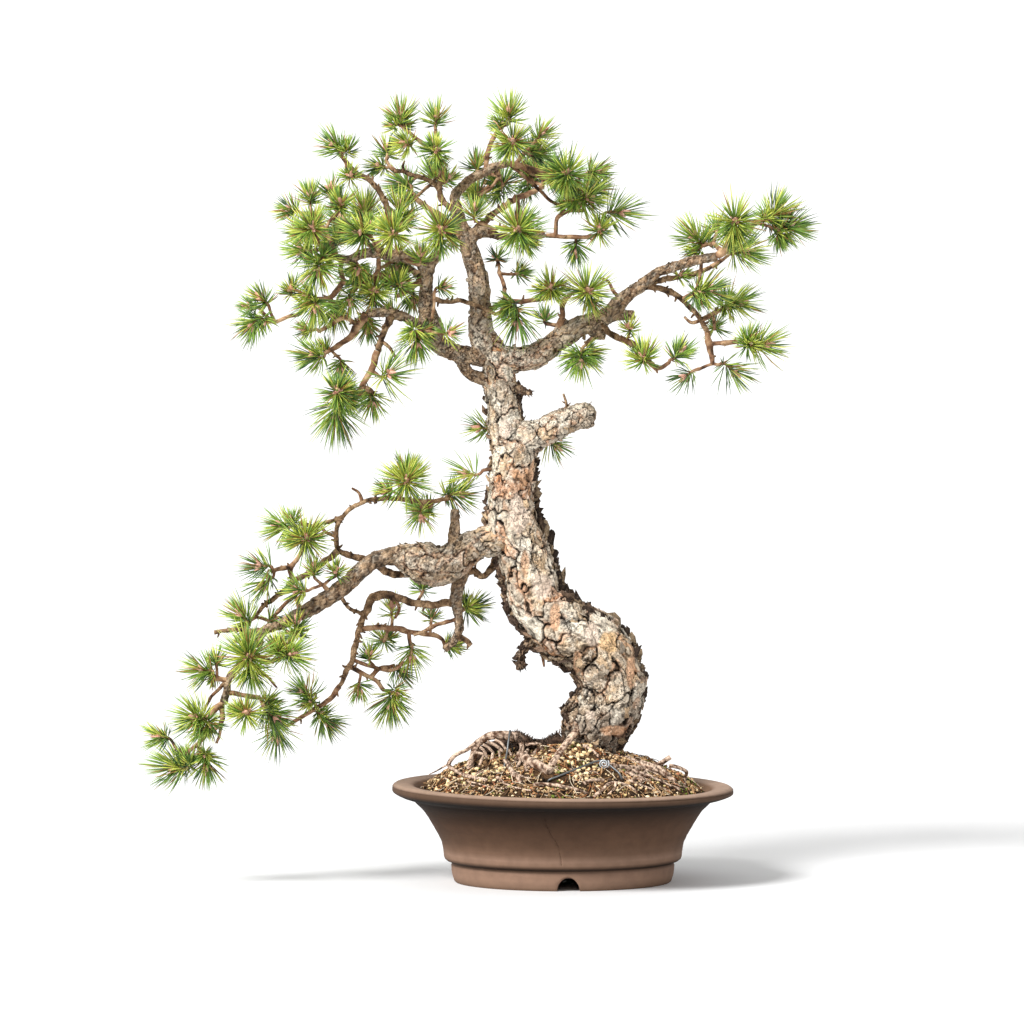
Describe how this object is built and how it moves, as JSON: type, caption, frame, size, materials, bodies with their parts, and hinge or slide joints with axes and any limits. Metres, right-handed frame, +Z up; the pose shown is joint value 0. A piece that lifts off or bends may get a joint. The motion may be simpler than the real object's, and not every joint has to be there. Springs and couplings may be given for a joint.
{
  "type": "scots pine bonsai",
  "caption": "Old scots pine bonsai with a bent trunk, a spread crown and a hanging lower branch, growing on a soil mound in a low oval clay pot",
  "frame": {"origin": "on the table under the middle of the whole object", "axes": "+Z up, -Y towards the tree's front, +X to the right as seen from the front"},
  "size_m": [0.6676, 0.301, 0.7908],
  "materials": {
    "pot_clay": "unglazed matt",
    "soil": "loose grains",
    "bark": "rough plated bark",
    "needles": "waxy needles on brown shoots",
    "wire": "dark anodised",
    "mesh_plastic": "matt"
  },
  "bodies": {
    "root": {"pot": "pot_clay", "soil": "soil", "tree_wood": "bark", "tie_wire_front": "wire", "tie_wire_root": "wire", "drain_mesh_left": "mesh_plastic", "drain_mesh_right": "mesh_plastic", "needle_spray_crown_01": "needles", "needle_spray_crown_02": "needles", "needle_spray_crown_03": "needles", "needle_spray_crown_04": "needles", "needle_spray_crown_05": "needles", "needle_spray_crown_06": "needles", "needle_spray_crown_07": "needles", "needle_spray_crown_08": "needles", "needle_spray_crown_09": "needles", "needle_spray_crown_10": "needles", "needle_spray_crown_11": "needles", "needle_spray_crown_12": "needles", "needle_spray_crown_13": "needles", "needle_spray_crown_14": "needles", "needle_spray_crown_15": "needles", "needle_spray_crown_16": "needles", "needle_spray_crown_17": "needles", "needle_spray_crown_18": "needles", "needle_spray_crown_19": "needles", "needle_spray_crown_20": "needles", "needle_spray_crown_21": "needles", "needle_spray_crown_22": "needles", "needle_spray_right_limb_01": "needles", "needle_spray_right_limb_02": "needles", "needle_spray_right_limb_03": "needles", "needle_spray_right_limb_04": "needles", "needle_spray_right_limb_05": "needles", "needle_spray_right_limb_06": "needles", "needle_spray_right_limb_07": "needles", "needle_spray_right_limb_08": "needles", "needle_spray_right_limb_09": "needles", "needle_spray_right_limb_10": "needles", "needle_spray_right_limb_11": "needles", "needle_spray_cascade_01": "needles", "needle_spray_cascade_02": "needles", "needle_spray_cascade_03": "needles", "needle_spray_cascade_04": "needles", "needle_spray_cascade_05": "needles", "needle_spray_cascade_06": "needles", "needle_spray_cascade_07": "needles", "needle_spray_cascade_08": "needles", "needle_spray_cascade_09": "needles", "needle_spray_cascade_10": "needles", "needle_spray_cascade_11": "needles", "needle_spray_cascade_12": "needles", "needle_spray_cascade_13": "needles", "needle_spray_cascade_14": "needles", "needle_spray_cascade_15": "needles", "needle_spray_cascade_16": "needles"}
  },
  "joints": []
}
